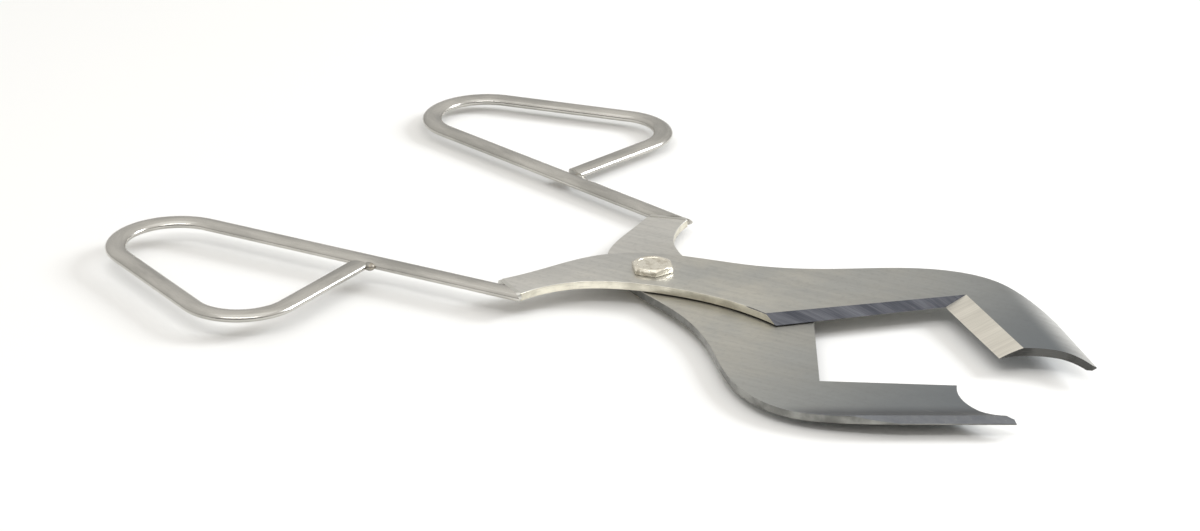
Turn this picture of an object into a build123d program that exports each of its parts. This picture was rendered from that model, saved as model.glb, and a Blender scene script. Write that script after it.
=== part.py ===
from build123d import *
from math import asin, degrees, radians, tan
import os

# Crucible tongs: two identical bevelled jaw plates on oval handle rods, crossed on one bolt.
#
# Frame: +X runs along the centreline towards the jaw tips, +Y to the side of the upper half's jaw,
# +Z up along the pivot bolt. The origin is the centre of the bolt's lower end face, which is what
# the tongs stand on. The lower half is the upper half turned over about the centreline, so the
# ground gripping edges of both halves lie close to the plane between the plates. Only the back edge
# of the lower plate is cut wider at the neck, and the bolt stands a little off the centreline.

# ---- driving dimensions, millimetres ----
PLATE_THICKNESS = 3.5
ROD_WIDTH = 9.0
ROD_HEIGHT = 4.4
PIVOT_HOLE_RADIUS = 5.0
EDGE_BREAK = 0.4
LONG_EDGE = 30.0

# ---- where the bolt stands in the plan that the halves are drawn in ----
PIVOT_X = 3.5
PIVOT_Y = -3.6

# ---- jaw plate outline, upper half, seen from above; the plan's X axis is the centreline ----
NOTCH_HEEL = (73.2, -13.0)
NOTCH_CORNER = (117.2, 45.0)
NOTCH_POINT = (161.8, 15.4)
TIP_HOLLOW = (173.7, 27.2)
TIP_END = (196.4, 28.8)
TIP_SHOULDER = (201.0, 30.6)
WELD_SEAM_INNER = (-39.6, -49.6)
WELD_SEAM_OUTER = (-23.4, -57.0)
BACK_EDGE = [(-33.4, -32.0), (-22.5, -3.2), (2.5, 15.2), (33.0, 25.6), (60.0, 41.5)]
LOWER_BACK_EDGE = [(-36.0, -33.0), (-27.0, -5.0), (1.5, 15.0), (33.0, 25.6), (60.0, 41.5)]
SHOULDER_EDGE = [(82.5, 60.5), (101.0, 71.3), (118.0, 74.5), (136.0, 70.6), (162.0, 57.2)]
CROSSING_EDGE = [(-20.2, -45.2), (-11.9, -32.2), (1.0, -22.6), (21.5, -14.4), (46.0, -10.4)]

# ---- ground bevels of the notch, each as wide as its distance back from the sharp edge ----
HEEL_BEVEL_AT_HEEL = 5.4
HEEL_BEVEL_AT_CORNER = 3.0
POINT_BEVEL = 10.0
BEVEL_OVERRUN = 12.0

# ---- rolled outer edge at the jaw tip: the sheet ends on this line, its lower edge further in ----
ROLLED_EDGE_START = (162.5, 57.4)
ROLLED_EDGE_END = (198.4, 29.6)
ROLL_WIDTH = 11.5
ROLL_INNER_RADIUS = 26.0
ROLLED_EDGE_SLANT = 3.0
SHEET_REACH = 300.0

# ---- handle rod route, upper half ----
ROD_START = (-10.0, -53.2)
ROD_FAR_CORNER = (-284.0, -94.6)
ROD_NEAR_CORNER = (-90.2, -157.4)
ROD_FINISH = (-98.8, -71.7)
FAR_BEND_RADIUS = 25.0
NEAR_BEND_RADIUS = 23.0
LOOP_END_CUT_ANGLE = 15.0

# ---- welds ----
SEAM_WIDTH = 2.0
SEAM_PROUD = 0.2
TACK_PLACE = (-94.2, -70.9)
TACK_RADII = (2.6, 2.0, 1.8)

# ---- pivot stack ----
BOLT_TAIL = 0.6
NUT_HEIGHT = 3.0
SHIM_HEIGHT = 0.4
AXIAL_PLAY = 0.1
HEAD_HEIGHT = 2.8
ACROSS_FLATS = 16.0
SHANK_RADIUS = 4.95
THREAD_CHAMFER = 0.4
HEX_CHAMFER_ANGLE = 30.0
HEAD_TURN = 16.0
NUT_TURN = 27.0
SHIM_HOLE_RADIUS = 5.25
SHIM_RADIUS = 11.0

# ---- heights of the stack, from the bolt's end face upwards ----
NUT_Z = BOLT_TAIL
LOWER_PLATE_Z = NUT_Z + NUT_HEIGHT
SHIM_Z = LOWER_PLATE_Z + PLATE_THICKNESS
UPPER_PLATE_Z = SHIM_Z + SHIM_HEIGHT + AXIAL_PLAY
HEAD_Z = UPPER_PLATE_Z + PLATE_THICKNESS + AXIAL_PLAY


def unit(start, end):
    """Unit vector from one plan point to another."""
    return (Vector(*end) - Vector(*start)).normalized()


def left_of(direction):
    """The plan direction a quarter turn to the left of the given one."""
    return Vector(-direction.Y, direction.X)


def lower_half(shape):
    """The same shape as a piece of the lower half: turned over about the centreline."""
    return Pos(-PIVOT_X, -PIVOT_Y, SHIM_Z) * Rot(180, 0, 0) * shape


def upper_half(shape):
    """A shape drawn with the sharp gripping edges at z = 0, lifted to the upper half's place."""
    return Pos(-PIVOT_X, -PIVOT_Y, UPPER_PLATE_Z) * shape


# ---- jaw plates ----


def jaw_outline(back_edge):
    """Plan of the jaw plate: smooth outside, straight-sided notch, hollow at the tip."""
    back = Spline(WELD_SEAM_INNER, *back_edge, *SHOULDER_EDGE, TIP_SHOULDER)
    tip = Line(TIP_SHOULDER, TIP_END)
    hollow = ThreePointArc(TIP_END, TIP_HOLLOW, NOTCH_POINT)
    notch = Polyline(NOTCH_POINT, NOTCH_CORNER, NOTCH_HEEL)
    crossing = Spline(NOTCH_HEEL, *reversed(CROSSING_EDGE), WELD_SEAM_OUTER)
    seam = Line(WELD_SEAM_OUTER, WELD_SEAM_INNER)
    return make_face(back + tip + hollow + notch + crossing + seam)


def rolled_sheet():
    """A wide flat sheet whose edge rolls down beyond a line along the jaw tip's outer edge."""
    along = unit(ROLLED_EDGE_START, ROLLED_EDGE_END)
    outward = left_of(along)
    roll_start = outward.dot(Vector(*ROLLED_EDGE_END)) - ROLL_WIDTH
    outer_radius = ROLL_INNER_RADIUS + PLATE_THICKNESS
    centre = (roll_start, -ROLL_INNER_RADIUS)
    inner_sweep = degrees(asin((ROLL_WIDTH - ROLLED_EDGE_SLANT) / ROLL_INNER_RADIUS))
    outer_sweep = degrees(asin(ROLL_WIDTH / outer_radius))
    bottom = Line((-SHEET_REACH, 0), (roll_start, 0))
    inner_arc = CenterArc(centre, ROLL_INNER_RADIUS, 90, -inner_sweep)
    outer_arc = CenterArc(centre, outer_radius, 90, -outer_sweep)
    end = Line(inner_arc @ 1, outer_arc @ 1)
    top = Line((-SHEET_REACH, PLATE_THICKNESS), (roll_start, PLATE_THICKNESS))
    side = Line((-SHEET_REACH, 0), (-SHEET_REACH, PLATE_THICKNESS))
    section = make_face(bottom + inner_arc + end + outer_arc + top + side)
    placed = Plane(origin=(0, 0, 0), x_dir=outward, z_dir=along)
    return extrude(placed * section, amount=SHEET_REACH, both=True)


def notch_cutter():
    """What the grinder takes off above the notch: it widens from the sharp edges to the bevels' tops."""
    heel, corner, point = Vector(*NOTCH_HEEL), Vector(*NOTCH_CORNER), Vector(*NOTCH_POINT)
    heel_way = (corner - heel).normalized()
    point_way = (point - corner).normalized()
    heel_top = heel + left_of(heel_way) * HEEL_BEVEL_AT_HEEL
    corner_top = corner + left_of(heel_way) * HEEL_BEVEL_AT_CORNER
    heel_top_way = (corner_top - heel_top).normalized()
    point_top = point + left_of(point_way) * POINT_BEVEL
    # The two top lines meet over the notch's corner.
    run = left_of(point_way).dot(point_top - heel_top) / left_of(point_way).dot(heel_top_way)
    mitre_top = heel_top + heel_top_way * run
    waste = heel + point - corner
    low = [heel - heel_way * BEVEL_OVERRUN, corner, point + point_way * BEVEL_OVERRUN, waste]
    high_start = heel_top - heel_top_way * BEVEL_OVERRUN
    high = [high_start, mitre_top, point_top + point_way * BEVEL_OVERRUN, waste]
    low_face = make_face(Polyline(*low, close=True))
    high_face = Pos(0, 0, PLATE_THICKNESS) * make_face(Polyline(*high, close=True))
    return loft([low_face, high_face], ruled=True)


def filed_edges(plate):
    """The long edges that are filed smooth: the curved outside ones and the rolled tip's upper one."""
    long_edges = [edge for edge in plate.edges() if edge.length > LONG_EDGE]
    curved = [edge for edge in long_edges if edge.geom_type == GeomType.BSPLINE]
    straight = [edge for edge in long_edges if edge.geom_type == GeomType.LINE]
    return curved + [edge for edge in straight if 0.1 < edge.center().Z / PLATE_THICKNESS < 0.9]


def jaw_plate(back_edge, pivot_y):
    """One jaw plate with its sharp gripping edges at z = 0."""
    blank = extrude(jaw_outline(back_edge), amount=5 * PLATE_THICKNESS, both=True)
    plate = blank & rolled_sheet()
    plate -= notch_cutter()
    plate = fillet(filed_edges(plate), EDGE_BREAK)
    return plate - Pos(PIVOT_X, pivot_y, 0) * Cylinder(PIVOT_HOLE_RADIUS, 3 * PLATE_THICKNESS)


# ---- handles ----


def handle_rod():
    """One handle: a straight oval rod, cut slantwise to the plate and bent back into a finger loop."""
    corners = [ROD_START, ROD_FAR_CORNER, ROD_NEAR_CORNER, ROD_FINISH]
    route = FilletPolyline(*corners, radius=[FAR_BEND_RADIUS, NEAR_BEND_RADIUS])
    start = Plane(origin=route @ 0, x_dir=left_of(route % 0), z_dir=route % 0)
    rod = sweep(start * Ellipse(ROD_WIDTH / 2, ROD_HEIGHT / 2), path=route)

    inner, outer = Vector(*WELD_SEAM_INNER), Vector(*WELD_SEAM_OUTER)
    to_handle = left_of(unit(outer, inner))
    rod_end = Plane(origin=outer + to_handle * SEAM_WIDTH, z_dir=to_handle)
    rod = split(rod, bisect_by=rod_end, keep=Keep.TOP)

    loop_way = route % 1
    loop_side = left_of(loop_way)
    loop_corner = Plane(origin=route @ 1 - loop_side * ROD_WIDTH / 2, x_dir=-loop_side, z_dir=(0, 0, 1))
    reach = -1.1 * ROD_WIDTH
    depth = reach * tan(radians(LOOP_END_CUT_ANGLE))
    sliver = make_face(Polyline((0, 0), (reach, 0), (reach, depth), close=True))
    rod -= extrude(loop_corner * sliver, amount=ROD_HEIGHT, both=True)
    return Pos(0, 0, PLATE_THICKNESS / 2) * rod


def handle_weld():
    """The butt weld between the plate's end edge and the rod's slanted end, ground nearly flush."""
    inner, outer = Vector(*WELD_SEAM_INNER), Vector(*WELD_SEAM_OUTER)
    to_handle = left_of(unit(outer, inner))
    section_plane = Plane(origin=(inner + outer) / 2, x_dir=inner - outer, z_dir=to_handle)
    height = PLATE_THICKNESS + 2 * SEAM_PROUD
    section = RectangleRounded((inner - outer).length, height, 0.45 * height)
    bead = extrude(section_plane * section, amount=SEAM_WIDTH)
    return Pos(0, 0, PLATE_THICKNESS / 2) * bead


def loop_tack(rod):
    """The small tack that holds the loop's end to the straight rod."""
    bead = Pos(*TACK_PLACE, PLATE_THICKNESS / 2) * scale(Sphere(1), by=TACK_RADII)
    return bead - rod


# ---- pivot ----


def hexagon(height, turn):
    """A hexagonal prism standing on z = 0."""
    return Rot(0, 0, turn) * extrude(RegularPolygon(ACROSS_FLATS / 2, 6, major_radius=False), amount=height)


def chamfer_cone(height):
    """A cone that takes a hexagon's corners off at z = height."""
    top_radius = 0.475 * ACROSS_FLATS
    spread = height / tan(radians(HEX_CHAMFER_ANGLE))
    return Pos(0, 0, height / 2) * Cone(top_radius + spread, top_radius, height)


def pivot_bolt():
    """Hexagon bolt: a chamfered head and a plain shank with a chamfered end at z = 0."""
    head = hexagon(HEAD_HEIGHT, HEAD_TURN) & chamfer_cone(HEAD_HEIGHT)
    shank = extrude(Circle(SHANK_RADIUS), amount=HEAD_Z)
    shank = chamfer(shank.edges().sort_by(Axis.Z)[0], THREAD_CHAMFER)
    return shank + Pos(0, 0, HEAD_Z) * head


def pivot_nut():
    """Thin hexagon nut, chamfered on both sides."""
    body = hexagon(NUT_HEIGHT, NUT_TURN) & chamfer_cone(NUT_HEIGHT)
    body &= Pos(0, 0, NUT_HEIGHT) * Rot(180, 0, 0) * chamfer_cone(NUT_HEIGHT)
    return Pos(0, 0, NUT_Z) * (body - extrude(Circle(SHANK_RADIUS), amount=NUT_HEIGHT))


def shim_washer():
    """Thin washer that keeps the two plates apart so that they slide without scraping."""
    return Pos(0, 0, SHIM_Z) * extrude(Circle(SHIM_RADIUS) - Circle(SHIM_HOLE_RADIUS), amount=SHIM_HEIGHT)


def make_nodes():
    """Every piece by its name."""
    rod = handle_rod()
    weld = handle_weld()
    tack = loop_tack(rod)
    pieces = {
        "upper_jaw_plate": upper_half(jaw_plate(BACK_EDGE, PIVOT_Y)),
        "lower_jaw_plate": lower_half(jaw_plate(LOWER_BACK_EDGE, -PIVOT_Y)),
        "pivot_bolt": pivot_bolt(),
        "pivot_nut": pivot_nut(),
        "shim_washer": shim_washer(),
    }
    for name, shape in (("handle_rod", rod), ("handle_weld", weld), ("loop_tack", tack)):
        pieces["upper_" + name] = upper_half(shape)
        pieces["lower_" + name] = lower_half(shape)
    return pieces


if __name__ == "__main__":
    os.makedirs("parts", exist_ok=True)
    for name, shape in make_nodes().items():
        export_step(shape, f"parts/{name}.step")
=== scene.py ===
"""Looks of a pair of crucible tongs: ground jaw plates, polished handle rods, welds and a plated bolt.

Everything is in metres and in the frame of the CAD model. The jaw plates, the bolt, the nut and the
shim washer are worked up from copies of their CAD shapes. The handle rods are bent anew, so that their
polishing marks can follow them round the finger loops. The welds keep their CAD shapes.
"""

import logging
import math
from dataclasses import dataclass, field
from enum import Enum
from typing import Any

import bmesh
import bpy
from mathutils import Matrix, Vector


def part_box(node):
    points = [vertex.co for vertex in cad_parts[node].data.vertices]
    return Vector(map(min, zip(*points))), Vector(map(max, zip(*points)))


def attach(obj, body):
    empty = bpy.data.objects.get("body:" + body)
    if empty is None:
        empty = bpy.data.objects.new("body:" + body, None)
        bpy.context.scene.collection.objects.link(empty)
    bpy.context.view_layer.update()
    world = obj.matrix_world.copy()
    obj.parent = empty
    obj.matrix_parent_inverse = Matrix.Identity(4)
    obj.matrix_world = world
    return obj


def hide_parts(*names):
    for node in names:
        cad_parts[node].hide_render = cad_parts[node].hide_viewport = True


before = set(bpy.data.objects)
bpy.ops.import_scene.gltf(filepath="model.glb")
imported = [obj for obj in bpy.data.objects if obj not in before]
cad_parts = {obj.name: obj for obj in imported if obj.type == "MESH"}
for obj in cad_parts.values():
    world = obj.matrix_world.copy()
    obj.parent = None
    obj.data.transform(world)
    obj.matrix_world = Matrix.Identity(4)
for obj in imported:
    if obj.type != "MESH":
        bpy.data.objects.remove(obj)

LOG = logging.getLogger("crucible_tongs")
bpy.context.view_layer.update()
Colour = tuple[float, float, float]
Stretch = tuple[float, float, float]
Plan = tuple[float, float]
Span = tuple[float, float]

CENTRELINE_Y = 0.0036  # the lower half is the upper one turned over about this line, beside the bolt
MERGE_DISTANCE = 2e-6
SLIVER_LENGTH = 1e-7
SMOOTH_BELOW = math.radians(28.0)


class Half(Enum):
    """The two halves of the tongs, by the name of the CAD body that carries each."""

    UPPER = "upper_half"
    LOWER = "lower_half"

    @property
    def prefix(self) -> str:
        """First word of the names of this half's pieces."""
        return self.value.split("_")[0]


class Slot(Enum):
    """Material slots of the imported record."""

    PLATE = "plate_steel"
    ROD = "rod_steel"
    WELD = "weld_steel"
    BOLT = "bolt_steel"
    WASHER = "washer_steel"


class Surface(Enum):
    """Differently worked surfaces of a jaw plate, by material index; their finishes carry painted
    highlights and shade.
    """

    FACE = 0
    POINT_BEVEL = 1
    HEEL_BEVEL = 2
    CROSSING_EDGE = 3
    RIM = 4
    TIP_HOLLOW = 5


# ---- shader maths ----


class Wire:
    """An output socket that can stand in a Python expression."""

    def __init__(self, tree: bpy.types.NodeTree, socket: bpy.types.NodeSocket) -> None:
        """Wraps a socket.

        Args:
            tree: The node tree that the socket belongs to.
            socket: The output socket to wrap.
        """
        self.tree = tree
        self.socket = socket

    def _math(self, operation: str, first: Any, second: Any) -> "Wire":
        """Adds one Math node.

        Args:
            operation: The Math node's operation.
            first: A wire or a number.
            second: A wire or a number.

        Returns:
            The node's output.
        """
        node = self.tree.nodes.new("ShaderNodeMath")
        node.operation = operation
        for place, value in zip(node.inputs, (first, second)):
            if isinstance(value, Wire):
                self.tree.links.new(value.socket, place)
            else:
                place.default_value = value
        return Wire(self.tree, node.outputs[0])

    def __add__(self, other: Any) -> "Wire":
        """This plus another."""
        return self._math("ADD", self, other)

    def __radd__(self, other: Any) -> "Wire":
        """Another plus this."""
        return self._math("ADD", other, self)

    def __sub__(self, other: Any) -> "Wire":
        """This minus another."""
        return self._math("SUBTRACT", self, other)

    def __rsub__(self, other: Any) -> "Wire":
        """Another minus this."""
        return self._math("SUBTRACT", other, self)

    def __mul__(self, other: Any) -> "Wire":
        """This times another."""
        return self._math("MULTIPLY", self, other)

    def __rmul__(self, other: Any) -> "Wire":
        """Another times this."""
        return self._math("MULTIPLY", other, self)

    def __pow__(self, other: Any) -> "Wire":
        """This to a power."""
        return self._math("POWER", self, other)

    def band(self, low: float, high: float) -> "Wire":
        """Rises smoothly from 0 where this is low to 1 where it is high.

        Args:
            low: The value that becomes 0.
            high: The value that becomes 1; below low, the band falls instead.

        Returns:
            The smooth step.
        """
        node = self.tree.nodes.new("ShaderNodeMapRange")
        node.interpolation_type = "SMOOTHSTEP"
        self.tree.links.new(self.socket, node.inputs["Value"])
        swapped = high < low
        node.inputs["From Min"].default_value = min(low, high)
        node.inputs["From Max"].default_value = max(low, high)
        node.inputs["To Min"].default_value = 1.0 if swapped else 0.0
        node.inputs["To Max"].default_value = 0.0 if swapped else 1.0
        return Wire(self.tree, node.outputs["Result"])


class Bench:
    """The node tree of one finish or of the room, with the few kinds of node that they share."""

    def __init__(self, owner: bpy.types.Material | bpy.types.World) -> None:
        """Starts with an empty tree.

        Args:
            owner: The material or world that the tree belongs to.
        """
        self.owner = owner
        self.owner.use_nodes = True
        self.tree = self.owner.node_tree
        self.tree.nodes.clear()

    def node(self, kind: str, settings: dict[str, Any], sockets: dict[Any, Any]) -> bpy.types.Node:
        """Adds any node.

        Args:
            kind: The node's type, without its ShaderNode prefix.
            settings: Properties to set first.
            sockets: Values or wires for its inputs, by name or index.

        Returns:
            The new node.
        """
        node = self.tree.nodes.new("ShaderNode" + kind)
        for key, value in settings.items():
            setattr(node, key, value)
        for key, value in sockets.items():
            if isinstance(value, Wire):
                self.tree.links.new(value.socket, node.inputs[key])
            elif isinstance(value, tuple) and len(value) == 3 and node.inputs[key].type == "RGBA":
                node.inputs[key].default_value = (*value, 1.0)
            else:
                node.inputs[key].default_value = value
        return node

    def wire(self, node: bpy.types.Node, output: Any = 0) -> Wire:
        """One output of a node as a wire."""
        return Wire(self.tree, node.outputs[output])

    def place(self) -> Wire:
        """Object coordinates, in metres."""
        return self.wire(self.node("TexCoord", {}, {}), "Object")

    def along_rod(self) -> Wire:
        """The rod's own coordinates: distance along it, sideways and up."""
        return self.wire(self.node("Attribute", {"attribute_name": "rod_place"}, {}), "Vector")

    def axis(self, vector: Wire, index: int) -> Wire:
        """One component of a vector."""
        return self.wire(self.node("SeparateXYZ", {}, {0: vector}), index)

    def turned(self, vector: Wire, degrees: float, stretch: Stretch) -> Wire:
        """Coordinates turned about Z and then stretched.

        Args:
            vector: The coordinates.
            degrees: Direction of the new first axis, anticlockwise from the old one.
            stretch: What each new axis is multiplied by.

        Returns:
            The new coordinates.
        """
        turn = {"Vector": vector, "Angle": -math.radians(degrees)}
        spin = self.node("VectorRotate", {"rotation_type": "Z_AXIS"}, turn)
        scaled = self.node("VectorMath", {"operation": "MULTIPLY"}, {0: self.wire(spin), 1: stretch})
        return self.wire(scaled)

    def noise(self, vector: Wire, scale: float, detail: float = 3.0, roughness: float = 0.55) -> Wire:
        """Value of a noise texture, from 0 to 1.

        Args:
            vector: Where it is read.
            scale: Its scale, per metre where the coordinates are in metres.
            detail: Number of finer layers.
            roughness: Strength of the finer layers.

        Returns:
            The noise.
        """
        values = {"Vector": vector, "Scale": scale, "Detail": detail, "Roughness": roughness}
        return self.wire(self.node("TexNoise", {}, values), 0)

    def blend(self, factor: Any, first: Any, second: Any) -> Wire:
        """A mix of two colours.

        Args:
            factor: 0 for the first colour, 1 for the second.
            first: A colour or a wire.
            second: A colour or a wire.

        Returns:
            The mixed colour.
        """
        node = self.node("Mix", {"data_type": "RGBA"}, {0: factor, 6: first, 7: second})
        return self.wire(node, 2)

    def bump(self, height: Wire, strength: float, depth: float) -> Wire:
        """A bumped normal.

        Args:
            height: Height from 0 to 1.
            strength: Strength from 0 to 1.
            depth: Real depth of the relief, in metres.

        Returns:
            The normal.
        """
        values = {"Height": height, "Strength": strength, "Distance": depth}
        return self.wire(self.node("Bump", {}, values))

    def surface(
        self, colour: Any, roughness: Any, normal: Wire, metallic: float = 1.0
    ) -> bpy.types.Material:
        """Ends a material's tree in its shader.

        Args:
            colour: Base colour.
            roughness: Roughness.
            normal: Bumped normal.
            metallic: 1 for bare metal, 0 for anything else.

        Returns:
            The finished material.
        """
        values = {"Base Color": colour, "Roughness": roughness, "Metallic": metallic, "Normal": normal}
        shader = self.node("BsdfPrincipled", {}, values)
        self.node("OutputMaterial", {}, {"Surface": self.wire(shader)})
        return self.owner


# ---- finishes ----


@dataclass(frozen=True)
class SatinPlate:
    """Stainless sheet with a fine brushed grain, mottled by use; painted shade darkens and blues the tips.

    The painted shade sets in along X between two distances from the bolt. The jaw's outer edge, where it
    rolls over, gets a painted highlight on the upper plate and painted shade on the lower one, which sets
    in along roll_way between two distances.
    """

    name: str
    steel: Colour = (0.56, 0.56, 0.53)
    warm: Colour = (0.64, 0.62, 0.56)
    polished: Colour = (0.84, 0.82, 0.78)
    polished_from: float = 0.03
    polished_to: float = -0.05
    # painted shade: the tips' darker, bluer colour stands for shade and dark reflections on them
    tip_painted_shade: Colour = (0.175, 0.198, 0.222)
    tip_shade_from: float = 0.05
    tip_shade_to: float = 0.175
    tip_shade_unevenness: float = 0.05
    worn: Colour = (0.24, 0.24, 0.235)
    wear: float = 0.30
    glint: Colour = (0.62, 0.62, 0.60)
    roughness: float = 0.38
    grain_degrees: float = 4.0
    grain_scale: Stretch = (60.0, 2600.0, 2600.0)
    streak_degrees: float = 7.0
    streak_scale: Stretch = (25.0, 420.0, 420.0)
    relief: float = 0.00006
    roll_way: Plan = (0.612, 0.791)
    roll_from: float = 0.1335
    roll_to: float = 0.1465
    # painted highlight along the jaw's outer edge; the lower plate passes a painted shade instead
    rolled: Colour = (0.96, 0.96, 0.94)

    def build(self) -> bpy.types.Material:
        """Returns the material."""
        bench = Bench(bpy.data.materials.new(self.name))
        place = bench.place()
        x, y = bench.axis(place, 0), bench.axis(place, 1)
        grain = bench.noise(bench.turned(place, self.grain_degrees, self.grain_scale), 1.0, 4.0)
        streaks = bench.noise(bench.turned(place, self.streak_degrees, self.streak_scale), 1.0, 3.0)
        mottle = bench.noise(place, 38.0, 5.0, 0.62)
        speck = bench.noise(place, 420.0, 3.0, 0.6)
        # mask of the painted shade towards the tips, made uneven by the mottle
        tip_shade_mask = (x + (mottle - 0.5) * self.tip_shade_unevenness).band(self.tip_shade_from, self.tip_shade_to)
        colour = bench.blend(mottle.band(0.36, 0.68), self.steel, self.warm)
        polish = x.band(self.polished_from, self.polished_to)
        colour = bench.blend(polish * 0.8, colour, self.polished)
        # the tips' painted shade
        colour = bench.blend(tip_shade_mask * 0.9, colour, self.tip_painted_shade)
        outward = x * self.roll_way[0] + y * self.roll_way[1]
        # painted highlight or painted shade along the jaw's outer edge, only where the tips' painted shade
        # is
        colour = bench.blend(outward.band(self.roll_from, self.roll_to) * tip_shade_mask, colour, self.rolled)
        shade = (streaks.band(0.30, 0.72) * 0.55 + speck.band(0.45, 0.75) * 0.45) * self.wear
        colour = bench.blend(shade, colour, self.worn)
        colour = bench.blend(grain.band(0.60, 0.80) * 0.22, colour, self.glint)
        rough = self.roughness + (mottle - 0.5) * 0.22 + (grain - 0.5) * 0.16 + speck.band(0.5, 0.8) * 0.07
        height = grain * 0.75 + streaks * 0.25
        return bench.surface(colour, rough, bench.bump(height, 0.22, self.relief))


@dataclass(frozen=True)
class GroundBevel:
    """A face that a coarse wheel has ground, marks all in one direction; its tones, given per use, are
    painted highlight or shade.
    """

    name: str
    bright: Colour
    dark: Colour
    marks_degrees: float
    roughness: float = 0.34
    contrast: float = 0.5
    marks_scale: Stretch = (55.0, 2300.0, 55.0)
    bands_scale: Stretch = (14.0, 300.0, 14.0)
    relief: float = 0.00010

    def build(self) -> bpy.types.Material:
        """Returns the material."""
        bench = Bench(bpy.data.materials.new(self.name))
        place = bench.place()
        marks = bench.noise(bench.turned(place, self.marks_degrees, self.marks_scale), 1.0, 5.0, 0.66)
        bands = bench.noise(bench.turned(place, self.marks_degrees, self.bands_scale), 1.0, 3.0)
        patches = bench.noise(place, 90.0, 3.0)
        groove = marks.band(0.36, 0.62)
        fade = groove * (0.45 * self.contrast) + bands.band(0.30, 0.72) * (0.55 * self.contrast)
        colour = bench.blend(fade, self.bright, self.dark)
        rough = self.roughness + (patches - 0.5) * 0.16 + groove * 0.10
        return bench.surface(colour, rough, bench.bump(marks * 0.8 + bands * 0.2, 0.45, self.relief))


@dataclass(frozen=True)
class FiledEdge:
    """The plates' side faces and worn corners: filed, with short marks along the edge; tones per use are
    painted highlight or shade.
    """

    name: str
    # painted highlight by default, for the crossing edge; the darker uses are painted shade
    bright: Colour = (0.93, 0.89, 0.76)
    dull: Colour = (0.60, 0.57, 0.48)
    grime: Colour = (0.22, 0.21, 0.20)
    roughness: float = 0.33
    marks_scale: Stretch = (240.0, 240.0, 3200.0)
    relief: float = 0.00006

    def build(self) -> bpy.types.Material:
        """Returns the material."""
        bench = Bench(bpy.data.materials.new(self.name))
        place = bench.place()
        marks = bench.noise(bench.turned(place, 0.0, self.marks_scale), 1.0, 4.0, 0.6)
        patches = bench.noise(place, 70.0, 4.0, 0.6)
        colour = bench.blend(patches.band(0.35, 0.66), self.bright, self.dull)
        colour = bench.blend(marks.band(0.52, 0.80) * 0.4, colour, self.grime)
        rough = self.roughness + (patches - 0.5) * 0.2 + marks.band(0.4, 0.8) * 0.10
        return bench.surface(colour, rough, bench.bump(marks, 0.35, self.relief))


@dataclass(frozen=True)
class PolishedRod:
    """Drawn rod, polished along its length, with faint belt marks round it and a few long scratches."""

    name: str
    steel: Colour = (0.64, 0.62, 0.58)
    dull: Colour = (0.44, 0.43, 0.40)
    glint: Colour = (0.70, 0.69, 0.66)
    scratched: Colour = (0.25, 0.25, 0.24)
    roughness: float = 0.21
    grain_scale: Stretch = (40.0, 2400.0, 2400.0)
    belt_scale: Stretch = (1500.0, 90.0, 90.0)
    cloud_scale: Stretch = (22.0, 90.0, 90.0)
    scratch_scale: Stretch = (12.0, 900.0, 900.0)
    relief: float = 0.00002

    def build(self) -> bpy.types.Material:
        """Returns the material."""
        bench = Bench(bpy.data.materials.new(self.name))
        rod = bench.along_rod()
        grain = bench.noise(bench.turned(rod, 0.0, self.grain_scale), 1.0, 4.0)
        belt = bench.noise(bench.turned(rod, 0.0, self.belt_scale), 1.0, 3.0)
        clouds = bench.noise(bench.turned(rod, 0.0, self.cloud_scale), 1.0, 4.0, 0.6)
        scratch = bench.noise(bench.turned(rod, 0.0, self.scratch_scale), 1.0, 2.0).band(0.70, 0.78)
        colour = bench.blend(clouds.band(0.36, 0.70), self.steel, self.dull)
        colour = bench.blend(grain.band(0.55, 0.82) * 0.20, colour, self.glint)
        colour = bench.blend(scratch * 0.25, colour, self.scratched)
        rough = self.roughness + (clouds - 0.5) * 0.12 + (grain - 0.5) * 0.08 + belt.band(0.5, 0.8) * 0.03
        return bench.surface(colour, rough, bench.bump(grain * 0.9 + belt * 0.1, 0.08, self.relief))


@dataclass(frozen=True)
class WeldBead:
    """Weld metal: lumpy, fine ripples, tinted straw and blue where it was hot."""

    name: str
    clean: Colour = (0.40, 0.39, 0.36)
    straw: Colour = (0.40, 0.31, 0.19)
    blue: Colour = (0.13, 0.15, 0.21)
    scale: Colour = (0.12, 0.12, 0.12)
    roughness: float = 0.36
    tint: float = 0.4
    lumps: float = 0.5
    relief: float = 0.00035

    def build(self) -> bpy.types.Material:
        """Returns the material."""
        bench = Bench(bpy.data.materials.new(self.name))
        place = bench.place()
        lumps = bench.noise(place, 520.0, 3.0)
        fine = bench.noise(place, 2600.0, 3.0, 0.65)
        patch = bench.noise(place, 210.0, 2.0)
        colour = bench.blend(patch.band(0.42, 0.60) * self.tint, self.clean, self.straw)
        colour = bench.blend(patch.band(0.56, 0.74) * self.tint, colour, self.blue)
        colour = bench.blend(fine.band(0.55, 0.80) * 0.3, colour, self.scale)
        rough = self.roughness + (fine - 0.5) * 0.3 + patch.band(0.5, 0.7) * 0.1
        return bench.surface(colour, rough, bench.bump(lumps * 0.7 + fine * 0.3, self.lumps, self.relief))


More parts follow.
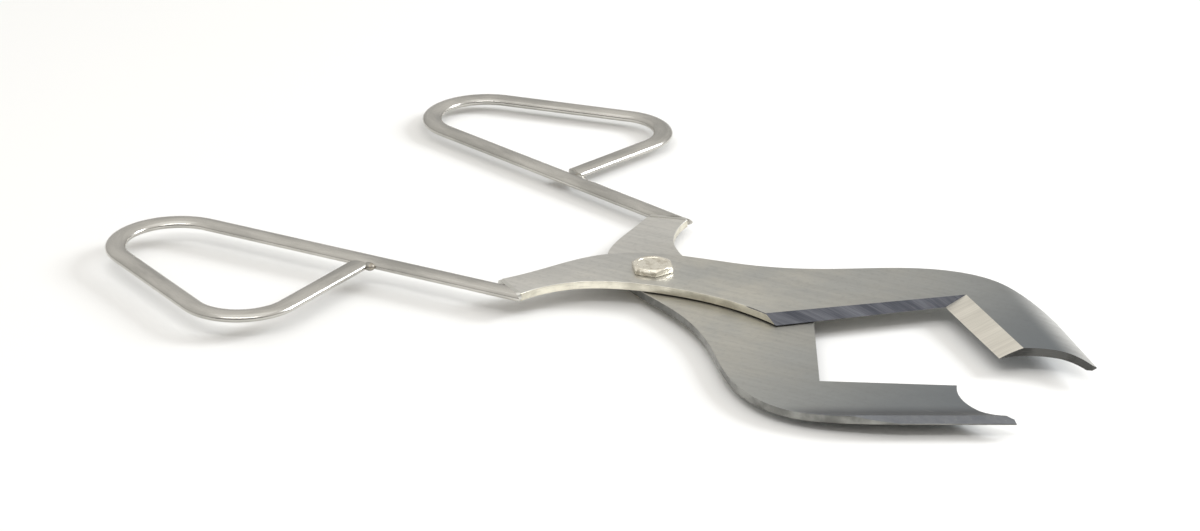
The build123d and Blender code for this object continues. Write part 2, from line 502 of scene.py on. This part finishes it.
@dataclass(frozen=True)
class NickelPlate:
    """Bright warm plating on the bolt and nut, rubbed, pitted and dulled in patches."""

    name: str
    plating: Colour = (1.0, 0.95, 0.83)
    dull: Colour = (0.52, 0.47, 0.38)
    pitted: Colour = (0.14, 0.13, 0.11)
    rubbed: Colour = (0.88, 0.86, 0.80)
    roughness: float = 0.20
    rub_degrees: float = 31.0
    rub_scale: Stretch = (180.0, 3000.0, 900.0)
    relief: float = 0.00009

    def build(self) -> bpy.types.Material:
        """Returns the material."""
        bench = Bench(bpy.data.materials.new(self.name))
        place = bench.place()
        mottle = bench.noise(place, 340.0, 4.0, 0.62)
        pits = bench.noise(place, 1500.0, 2.0).band(0.64, 0.74)
        rub = bench.noise(bench.turned(place, self.rub_degrees, self.rub_scale), 1.0, 4.0)
        colour = bench.blend(mottle.band(0.44, 0.66) * 0.75, self.plating, self.dull)
        colour = bench.blend(pits * 0.5, colour, self.pitted)
        colour = bench.blend(rub.band(0.58, 0.80) * 0.25, colour, self.rubbed)
        rough = self.roughness + mottle.band(0.42, 0.68) * 0.20 + pits * 0.2
        height = mottle * 0.6 + rub * 0.3 + (1.0 - pits) * 0.1
        return bench.surface(colour, rough, bench.bump(height, 0.30, self.relief))


@dataclass(frozen=True)
class TurnedWasher:
    """Zinc-plated washer with fine rings round the bolt's axis."""

    name: str
    zinc: Colour = (0.56, 0.57, 0.58)
    dull: Colour = (0.33, 0.33, 0.34)
    ring_shadow: Colour = (0.2, 0.2, 0.2)
    roughness: float = 0.34
    rings_per_metre: float = 5200.0
    relief: float = 0.00005

    def build(self) -> bpy.types.Material:
        """Returns the material."""
        bench = Bench(bpy.data.materials.new(self.name))
        place = bench.place()
        x, y = bench.axis(place, 0), bench.axis(place, 1)
        radius = (x * x + y * y) ** 0.5
        height = bench.axis(place, 2) * 900.0
        rings = bench.node("CombineXYZ", {}, {0: radius * self.rings_per_metre, 1: height})
        turned = bench.noise(bench.wire(rings), 1.0, 3.0)
        spangle = bench.node("TexVoronoi", {}, {"Vector": place, "Scale": 620.0})
        flakes = bench.axis(bench.wire(spangle, "Color"), 0)
        colour = bench.blend(flakes.band(0.1, 0.9) * 0.55, self.zinc, self.dull)
        colour = bench.blend(turned.band(0.5, 0.8) * 0.3, colour, self.ring_shadow)
        rough = self.roughness + flakes * 0.14 + (turned - 0.5) * 0.2
        return bench.surface(colour, rough, bench.bump(turned, 0.3, self.relief))


@dataclass(frozen=True)
class PaleFloor:
    """The plain matt sheet that the tongs lie on."""

    name: str
    white: Colour = (0.93, 0.925, 0.915)
    fibre: Colour = (0.85, 0.845, 0.83)
    roughness: float = 0.85
    relief: float = 0.00005

    def build(self) -> bpy.types.Material:
        """Returns the material."""
        bench = Bench(bpy.data.materials.new(self.name))
        paper = bench.noise(bench.place(), 900.0, 3.0)
        colour = bench.blend(paper * 0.04, self.white, self.fibre)
        return bench.surface(colour, self.roughness, bench.bump(paper, 0.05, self.relief), 0.0)


# ---- shared mesh work ----


def finished(name: str, shape: bmesh.types.BMesh, materials: list[bpy.types.Material]) -> bpy.types.Object:
    """Turns a worked shape into an object at the origin, smooth but for its sharp edges.

    Args:
        name: The piece's name.
        shape: The shape in the tongs' frame, in metres; it is used up.
        materials: Its materials, by the material index of its faces.

    Returns:
        The new object.
    """
    for face in shape.faces:
        face.smooth = True
    for edge in shape.edges:
        edge.smooth = not edge.is_manifold or edge.calc_face_angle(0.0) < SMOOTH_BELOW
    mesh = bpy.data.meshes.new(name)
    shape.to_mesh(mesh)
    shape.free()
    for material in materials:
        mesh.materials.append(material)
    piece = bpy.data.objects.new(name, mesh)
    bpy.context.scene.collection.objects.link(piece)
    return piece


def copy_of(node: str) -> bmesh.types.BMesh:
    """A merged working copy of a CAD node's mesh.

    Args:
        node: The CAD node's name.

    Returns:
        The copy.
    """
    shape = bmesh.new()
    shape.from_mesh(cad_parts[node].data)
    bmesh.ops.remove_doubles(shape, verts=shape.verts, dist=MERGE_DISTANCE)
    bmesh.ops.dissolve_degenerate(shape, edges=shape.edges, dist=SLIVER_LENGTH)
    return shape


def adopt(piece: bpy.types.Object, half: Half, slot: Slot, *nodes: str) -> None:
    """Ties a new piece to its body and the CAD nodes that it stands for.

    Args:
        piece: The new piece.
        half: The half of the tongs that it moves with.
        slot: The record's material slot; not used.
        *nodes: The CAD nodes that it replaces.
    """
    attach(piece, half.value)
    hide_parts(*nodes)
    count = sum(len(polygon.vertices) - 2 for polygon in piece.data.polygons)
    LOG.info("%s: %d triangles, stands for %s", piece.name, count, ", ".join(nodes))


# ---- sub-assemblies ----


@dataclass
class JawPlate:
    """One ground jaw plate, whose faces are sorted by where they lie and which way they face.

    Places are in the plan of the upper half. A slope is the upward part of a face's normal.
    """

    half: Half
    heel: Plan = (0.0697, -0.0094)
    corner: Plan = (0.1137, 0.0486)
    point: Plan = (0.1583, 0.0190)
    upper_flat_slope: float = 0.97
    lower_flat_slope: float = 0.9985
    underside_slope: float = -0.5
    rolled_slope: float = 0.72
    bevel_slope: float = 0.15
    bevel_facing: float = 0.3
    bevel_from: float = -0.001
    bevel_reach: float = 0.0145
    hollow_before_point: float = 0.002
    hollow_below_y: float = 0.0345
    # extent of the crossing edge's painted highlight
    painted_highlight_from: float = -0.045
    painted_highlight_past_heel: float = 0.004
    painted_highlight_normal_y: float = 0.1

    def plan_of(self, place: Vector) -> Vector:
        """A point in the plan of the upper half.

        Args:
            place: A point of either plate.

        Returns:
            The same point of the upper plate.
        """
        y = place.y if self.half is Half.UPPER else 2 * CENTRELINE_Y - place.y
        return Vector((place.x, y))

    def surface_of(self, face: bmesh.types.BMFace) -> Surface:
        """How a face of the plate is worked, and so which painted highlight or painted shade it gets.

        Args:
            face: A face of the plate's copy.

        Returns:
            The kind of surface.
        """
        is_upper = self.half is Half.UPPER
        upward = face.normal.z if is_upper else -face.normal.z
        flat_slope = self.upper_flat_slope if is_upper else self.lower_flat_slope
        if upward > flat_slope or upward < self.underside_slope:
            return Surface.FACE
        middle = self.plan_of(face.calc_center_median())
        normal = self.plan_of(face.normal) - self.plan_of(Vector((0.0, 0.0, 0.0)))
        # the point bevel gets a painted highlight, the heel bevel painted shade
        for start, end, kind in (
            (self.corner, self.point, Surface.POINT_BEVEL),
            (self.heel, self.corner, Surface.HEEL_BEVEL),
        ):
            way = (Vector(end) - Vector(start)).normalized()
            off = middle - Vector(start)
            left = off.y * way.x - off.x * way.y
            facing = -(normal.y * way.x - normal.x * way.y)
            slanted = facing > self.bevel_facing and upward > self.bevel_slope
            if slanted and self.bevel_from < left < self.bevel_reach:
                return kind
        # the upper plate's outer edge stays with the face, whose material paints its highlight; the lower
        # plate's gets painted shade below
        if is_upper and upward > self.rolled_slope:
            return Surface.FACE
        # the jaw's end wall at the tip gets the darkest painted shade
        if middle.x > self.point[0] - self.hollow_before_point and middle.y < self.hollow_below_y:
            return Surface.TIP_HOLLOW
        # the crossing edge's side faces get a painted highlight, the other side walls painted shade
        painted_highlight_to = self.heel[0] + self.painted_highlight_past_heel
        crossing = normal.y < self.painted_highlight_normal_y and self.painted_highlight_from < middle.x < painted_highlight_to
        return Surface.CROSSING_EDGE if crossing else Surface.RIM

    def build(self, materials: list[bpy.types.Material]) -> None:
        """Makes the plate.

        Args:
            materials: Its finishes, which carry painted highlights and painted shade, by Surface.
        """
        node = f"{self.half.prefix}_jaw_plate"
        shape = copy_of(node)
        for face in shape.faces:
            face.material_index = self.surface_of(face).value
        piece = finished(f"{node}_ground", shape, materials)
        adopt(piece, self.half, Slot.PLATE, node)


@dataclass
class HandleRod:
    """One handle: an oval rod, bent twice into a finger loop. Plan points are those of the upper half.

    The rod runs through its corners from the jaw plate. Its first end is cut along the weld's seam and
    its last end where the loop closes on the rod. Its own coordinates are kept in the layer rod_place.
    """

    half: Half
    corners: tuple[Plan, ...] = (
        (-0.0135, -0.0496),
        (-0.2875, -0.0910),
        (-0.0937, -0.1538),
        (-0.1023, -0.0681),
    )
    radii: tuple[float, float] = (0.025, 0.023)
    width: float = 0.009
    seam: tuple[Plan, Plan] = ((-0.0269, -0.0534), (-0.0431, -0.0460))
    seam_width: float = 0.002
    seam_reach: float = 0.05
    end_cut_degrees: float = 15.0
    end_reach: float = 0.03
    sides: int = 40
    bend_step: float = math.radians(4.0)
    run_step: float = 0.012
    travelled: float = field(default=0.0, init=False)
    end: Vector = field(default_factory=Vector, init=False)
    end_way: Vector = field(default_factory=Vector, init=False)

    def _lay(self, ring: list[bmesh.types.BMVert], layer: Any, way: Vector, centre: Vector) -> None:
        """Writes the rod's own coordinates on one ring of vertices.

        Args:
            ring: The ring.
            layer: The layer that holds them.
            way: Direction of the rod at the ring.
            centre: Centre of the ring.
        """
        for vert in ring:
            off = vert.co - centre
            vert[layer] = (self.travelled, off.y * way.x - off.x * way.y, off.z)

    def _grow(self, shape: bmesh.types.BMesh, edges: list[bmesh.types.BMEdge]) -> tuple[list, list]:
        """Extrudes a ring of edges in place.

        Args:
            shape: The rod so far.
            edges: The open ring at its end.

        Returns:
            The new ring's edges and vertices.
        """
        made = bmesh.ops.extrude_edge_only(shape, edges=edges)["geom"]
        verts = [item for item in made if isinstance(item, bmesh.types.BMVert)]
        ring = set(verts)
        new_edges = [item for item in made if isinstance(item, bmesh.types.BMEdge)]
        rim = [edge for edge in new_edges if all(vert in ring for vert in edge.verts)]
        return rim, verts

    def _bent(self, height: float) -> bmesh.types.BMesh:
        """The whole rod as an open tube.

        Args:
            height: The rod's smaller diameter.

        Returns:
            The tube, with its own coordinates in the layer rod_place.
        """
        shape = bmesh.new()
        layer = shape.verts.layers.float_vector.new("rod_place")
        points = [Vector((*corner, 0.0)) for corner in self.corners]
        ways = [(b - a).normalized() for a, b in zip(points, points[1:])]
        turns = [a.angle(b) for a, b in zip(ways, ways[1:])]
        cuts = [radius * math.tan(turn / 2) for radius, turn in zip(self.radii, turns)]
        lengths = [(b - a).length for a, b in zip(points, points[1:])]
        runs = [lengths[0] - cuts[0], lengths[1] - cuts[0] - cuts[1], lengths[2] - cuts[1]]

        facing = Matrix(((0, 0, 1), (1, 0, 0), (0, 1, 0))).to_4x4()
        oval = Matrix.Diagonal((self.width / 2, height / 2, 1.0, 1.0))
        turn_to = Matrix.Rotation(math.atan2(ways[0].y, ways[0].x), 4, "Z")
        matrix = Matrix.Translation(points[0]) @ turn_to @ facing @ oval
        bmesh.ops.create_circle(shape, cap_ends=False, segments=self.sides, radius=1.0, matrix=matrix)
        rim, ring = list(shape.edges), list(shape.verts)
        here, way = points[0].copy(), ways[0].copy()
        self._lay(ring, layer, way, here)
        for index, run in enumerate(runs):
            steps = max(1, round(run / self.run_step))
            for _ in range(steps):
                rim, ring = self._grow(shape, rim)
                bmesh.ops.translate(shape, verts=ring, vec=way * (run / steps))
                here += way * (run / steps)
                self.travelled += run / steps
                self._lay(ring, layer, way, here)
            if index == len(turns):
                break
            turn, radius = turns[index], self.radii[index]
            side = 1.0 if ways[index].cross(ways[index + 1]).z > 0 else -1.0
            centre = here + Vector((-way.y, way.x, 0.0)) * side * radius
            steps = math.ceil(turn / self.bend_step)
            step = Matrix.Rotation(side * turn / steps, 3, "Z")
            for _ in range(steps):
                rim, ring = self._grow(shape, rim)
                bmesh.ops.rotate(shape, verts=ring, cent=centre, matrix=step)
                here = centre + step @ (here - centre)
                way = step @ way
                self.travelled += radius * turn / steps
                self._lay(ring, layer, way, here)
        self.end, self.end_way = here, way
        return shape

    def _cut(self, shape: bmesh.types.BMesh, place: Vector, outward: Vector, between: Span) -> None:
        """Cuts one end of the tube off along a plane and closes it.

        Args:
            shape: The tube.
            place: A point of the plane.
            outward: Normal of the plane, towards what is cut off.
            between: The part of the rod that may be cut, as two distances along it.
        """
        layer = shape.verts.layers.float_vector["rod_place"]
        low, high = between
        faces = [f for f in shape.faces if all(low <= v[layer].x <= high for v in f.verts)]
        geom = list({*faces, *(e for f in faces for e in f.edges), *(v for f in faces for v in f.verts)})
        bmesh.ops.bisect_plane(
            shape,
            geom=geom,
            dist=SLIVER_LENGTH,
            plane_co=place,
            plane_no=outward,
            clear_outer=True,
        )
        rim = [e for e in shape.edges if e.is_boundary and low <= e.verts[0][layer].x <= high]
        bmesh.ops.contextual_create(shape, geom=rim)

    def build(self, material: bpy.types.Material) -> None:
        """Makes the rod.

        Args:
            material: Its finish.
        """
        node = f"{self.half.prefix}_handle_rod"
        low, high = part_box(node)
        shape = self._bent(high.z - low.z)
        outer, inner = (Vector((*corner, 0.0)) for corner in self.seam)
        along = (inner - outer).normalized()
        to_handle = Vector((-along.y, along.x, 0.0))
        seam_place = (outer + inner) / 2 + to_handle * self.seam_width
        self._cut(shape, seam_place, -to_handle, (-math.inf, self.seam_reach))
        side = Vector((-self.end_way.y, self.end_way.x, 0.0))
        slant = Matrix.Rotation(math.radians(self.end_cut_degrees), 3, "Z") @ self.end_way
        corner = self.end - side * self.width / 2
        self._cut(shape, corner, slant, (self.travelled - self.end_reach, math.inf))
        bmesh.ops.recalc_face_normals(shape, faces=shape.faces)
        if self.half is Half.LOWER:
            bmesh.ops.rotate(
                shape,
                verts=shape.verts,
                cent=(0.0, CENTRELINE_Y, 0.0),
                matrix=Matrix.Rotation(math.pi, 3, "X"),
            )
        bmesh.ops.translate(shape, verts=shape.verts, vec=(0.0, 0.0, (low.z + high.z) / 2))
        piece = finished(f"{node}_polished", shape, [material])
        adopt(piece, self.half, Slot.ROD, node)


@dataclass
class PivotStack:
    """The bolt, nut and shim washer: copies of their CAD shapes, their hard corners broken."""

    flat_angle: float = math.radians(0.4)
    sharp_angle: float = math.radians(24.0)
    corner_break: float = 0.00018
    corner_segments: int = 2
    face_inset: float = 0.0011
    face_dish: float = 0.00022
    level_slope: float = 0.999
    level_tolerance: float = 1e-6

    def _broken(self, node: str) -> bmesh.types.BMesh:
        """A copy with its flat faces made whole and its sharp edges bevelled.

        Args:
            node: The CAD node.

        Returns:
            The copy.
        """
        shape = copy_of(node)
        bmesh.ops.dissolve_limit(
            shape,
            angle_limit=self.flat_angle,
            verts=shape.verts,
            edges=shape.edges,
            use_dissolve_boundaries=False,
        )
        sharp = [e for e in shape.edges if e.is_manifold and e.calc_face_angle(0.0) > self.sharp_angle]
        bmesh.ops.bevel(
            shape,
            geom=sharp,
            offset=self.corner_break,
            segments=self.corner_segments,
            profile=0.5,
            affect="EDGES",
            material=-1,
            clamp_overlap=True,
        )
        return shape

    def _dish_head(self, shape: bmesh.types.BMesh) -> None:
        """Sinks the middle of the bolt head's top face a little, inside a raised border.

        Args:
            shape: The bolt.
        """
        top = max(shape.faces, key=lambda face: (round(face.calc_center_median().z, 5), face.calc_area()))
        level = top.calc_center_median().z
        upward = [face for face in shape.faces if face.normal.z > self.level_slope]
        flat = [f for f in upward if abs(f.calc_center_median().z - level) < self.level_tolerance]
        bmesh.ops.inset_region(shape, faces=flat, thickness=self.face_inset, use_even_offset=True)
        bmesh.ops.inset_region(
            shape,
            faces=flat,
            thickness=self.face_dish,
            depth=-self.face_dish,
            use_even_offset=True,
        )

    def build(self, plating: bpy.types.Material, zinc: bpy.types.Material) -> None:
        """Makes the three pieces.

        Args:
            plating: Finish of the bolt and nut.
            zinc: Finish of the shim washer.
        """
        for node, slot, material in (
            ("pivot_bolt", Slot.BOLT, plating),
            ("pivot_nut", Slot.BOLT, plating),
            ("shim_washer", Slot.WASHER, zinc),
        ):
            shape = self._broken(node)
            if node == "pivot_bolt":
                self._dish_head(shape)
            piece = finished(f"{node}_plated", shape, [material])
            adopt(piece, Half.LOWER, slot, node)


@dataclass
class Welds:
    """The handle seams and loop tacks. Their CAD shapes stay and get weld finishes."""

    def dress(self, seam: bpy.types.Material, tack: bpy.types.Material) -> None:
        """Gives both halves' welds their finishes.

        Args:
            seam: Finish of the ground seams.
            tack: Finish of the loop tacks.
        """
        for half in Half:
            for name, material in (("handle_weld", seam), ("loop_tack", tack)):
                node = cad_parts[f"{half.prefix}_{name}"]
                node.data.materials.clear()
                node.data.materials.append(material)
                LOG.info("%s: CAD shape, finish %s", node.name, material.name)


def towards(azimuth: float, elevation: float) -> Vector:
    """From the tongs towards a place at this azimuth and elevation, in degrees."""
    a, e = math.radians(azimuth), math.radians(elevation)
    return Vector((math.sin(a) * math.cos(e), -math.cos(a) * math.cos(e), math.sin(e)))


@dataclass(frozen=True)
class SoftLight:
    """One soft rectangular light that faces the tongs. Its place is in degrees, as the camera's is."""

    name: str
    azimuth: float
    elevation: float
    distance: float
    size: Plan
    watts: float
    colour: Colour = (1.0, 1.0, 1.0)

    def build(self) -> None:
        """Makes the light."""
        data = bpy.data.lights.new(self.name, "AREA")
        data.shape = "RECTANGLE"
        data.size, data.size_y = self.size
        data.energy = self.watts
        data.color = self.colour
        lamp = bpy.data.objects.new(self.name, data)
        back = towards(self.azimuth, self.elevation)
        lamp.location = back * self.distance
        lamp.rotation_mode = "QUATERNION"
        lamp.rotation_quaternion = (-back).to_track_quat("-Z", "Y")
        bpy.context.scene.collection.objects.link(lamp)


@dataclass
class Studio:
    """Floor, room, lights and camera. Angles are in degrees; the room's spans are parts of a direction."""

    azimuth: float = 38.0
    elevation: float = 22.9
    target: tuple[float, float, float] = (-0.0243, -0.0043, 0.0079)
    distance: float = 1.529
    lens: float = 109.2
    sensor_width: float = 36.0
    clip: Span = (0.05, 60.0)
    floor_size: float = 4.0
    horizon: Colour = (0.60, 0.592, 0.57)
    ceiling: Colour = (1.0, 0.985, 0.945)
    ceiling_rise: Span = (-0.05, 0.85)
    dark_side: Colour = (0.06, 0.06, 0.065)
    dark_facing: Span = (0.45, 0.85)
    dark_fall: Span = (0.55, 0.30)
    darkness: float = 0.85
    room_strength: float = 0.80
    lights: tuple[SoftLight, ...] = (
        SoftLight("key_right_rear", 142.0, 32.0, 1.6, (0.6, 0.6), 15.0, (0.93, 0.965, 1.0)),
        SoftLight("overhead", 38.0, 84.0, 1.8, (1.8, 1.8), 3.5),
        SoftLight("front_strip", 30.0, 58.0, 1.5, (1.4, 0.18), 4.0),
    )

    def camera(self) -> None:
        """Makes the camera."""
        data = bpy.data.cameras.new("camera")
        data.lens = self.lens
        data.sensor_width = self.sensor_width
        data.clip_start, data.clip_end = self.clip
        camera = bpy.data.objects.new("camera", data)
        back = towards(self.azimuth, self.elevation)
        camera.location = Vector(self.target) + back * self.distance
        camera.rotation_mode = "QUATERNION"
        camera.rotation_quaternion = (-back).to_track_quat("-Z", "Y")
        bpy.context.scene.collection.objects.link(camera)
        bpy.context.scene.camera = camera

    def surroundings(self) -> None:
        """Sets a soft pale room, brighter overhead and dark low down on the camera's side."""
        world = bpy.data.worlds.new("room")
        bpy.context.scene.world = world
        bench = Bench(world)
        way = bench.wire(bench.node("TexCoord", {}, {}), "Generated")
        height = bench.axis(way, 2)
        to_camera = towards(self.azimuth, 0.0)
        facing = bench.axis(way, 0) * to_camera.x + bench.axis(way, 1) * to_camera.y
        shade = bench.blend(height.band(*self.ceiling_rise), self.horizon, self.ceiling)
        dark = facing.band(*self.dark_facing) * height.band(*self.dark_fall)
        shade = bench.blend(dark * self.darkness, shade, self.dark_side)
        glow = bench.node("Background", {}, {"Color": shade, "Strength": self.room_strength})
        bench.node("OutputWorld", {}, {"Surface": bench.wire(glow)})

    def floor(self, material: bpy.types.Material) -> None:
        """Lays the floor that the tongs stand on.

        Args:
            material: Its finish.
        """
        shape = bmesh.new()
        bmesh.ops.create_grid(shape, x_segments=2, y_segments=2, size=self.floor_size)
        finished("floor", shape, [material])

    def build(self) -> None:
        """Sets the whole studio up."""
        self.camera()
        self.surroundings()
        self.floor(PaleFloor("matt_white_sheet").build())
        for light in self.lights:
            light.build()
        bpy.context.scene.view_settings.view_transform = "Standard"
        LOG.info("studio: floor, room, %d lights and the camera", len(self.lights))


def main() -> None:
    """Builds the finishes, the pieces and the studio."""
    upper_face = SatinPlate("brushed_upper_plate").build()
    lower_face = SatinPlate(
        "brushed_lower_plate",
        roll_way=(0.612, -0.791),
        roll_from=0.1240,
        roll_to=0.1330,
        # painted shade along the lower jaw's outer edge
        rolled=(0.115, 0.12, 0.13),
    ).build()
    # painted highlight: ground steel much brighter than the plate face, for the light it catches
    point_bevel = GroundBevel(
        "point_bevel_painted_highlight",
        bright=(0.92, 0.88, 0.79),
        dark=(0.52, 0.49, 0.43),
        marks_degrees=57.0,
    )
    # painted shade: ground steel made near black, for the shade and dark reflections on it
    heel_bevel = GroundBevel(
        "heel_bevel_painted_shade",
        bright=(0.17, 0.175, 0.195),
        dark=(0.05, 0.053, 0.066),
        marks_degrees=20.0,
        contrast=0.9,
    )
    worked_and_painted_finishes = [
        point_bevel.build(),
        heel_bevel.build(),
        # painted highlight on the crossing edge
        FiledEdge("crossing_edge_painted_highlight").build(),
        # painted shade on the other side walls
        FiledEdge("rim_painted_shade", (0.34, 0.34, 0.32), (0.17, 0.17, 0.16)).build(),
        # darker painted shade on the jaw's end wall at the tip
        FiledEdge("tip_hollow_painted_shade", (0.115, 0.115, 0.11), (0.05, 0.05, 0.048)).build(),
    ]
    rod_finish = PolishedRod("polished_rod").build()
    for half, face in ((Half.UPPER, upper_face), (Half.LOWER, lower_face)):
        JawPlate(half).build([face, *worked_and_painted_finishes])
        HandleRod(half).build(rod_finish)
    PivotStack().build(NickelPlate("nickel_plating").build(), TurnedWasher("zinc_washer").build())
    seam = WeldBead("ground_seam", clean=(0.68, 0.67, 0.63), tint=0.08, lumps=0.05)
    Welds().dress(seam.build(), WeldBead("loop_tack_bead").build())
    Studio().build()


if __name__ == "__main__":
    logging.basicConfig(level=logging.INFO, format="%(name)s %(message)s")
    main()
